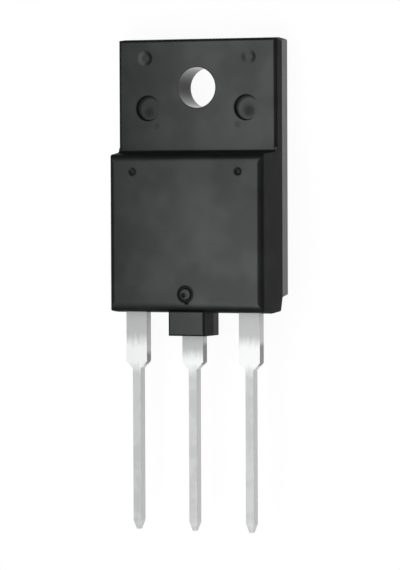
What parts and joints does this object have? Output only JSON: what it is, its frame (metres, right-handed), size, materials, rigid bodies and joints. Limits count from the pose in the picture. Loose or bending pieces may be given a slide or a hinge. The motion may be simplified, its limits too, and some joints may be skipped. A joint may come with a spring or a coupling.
{
  "type": "power transistor",
  "caption": "Fully moulded power transistor with a screw hole in its thin mounting tab and flat solder leads below, lying on its heat-sink back.",
  "frame": {"origin": "centre of the mounting hole on the flat heat-sink back", "axes": "+Z out of the front face, away from the heat sink; +Y towards the tab's top edge; -Y along the leads to their tips; +X towards the emitter lead"},
  "size_m": [0.0154, 0.0437, 0.0055],
  "materials": {
    "moulding": "satin black epoxy moulding compound with fine grain",
    "collector_frame": "copper strip, satin tin plate on the lead",
    "leads": "copper strip with satin tin plate",
    "chip": "polished silicon with an aluminium top layer",
    "solder": "dull soft solder",
    "bond_wire": "drawn aluminium wire"
  },
  "bodies": {
    "root": {"moulding": "moulding", "collector_frame": "collector_frame", "base_lead": "leads", "emitter_lead": "leads", "chip": "chip", "chip_solder": "solder", "base_wire": "bond_wire", "emitter_wire_inner": "bond_wire", "emitter_wire_outer": "bond_wire"}
  },
  "joints": []
}
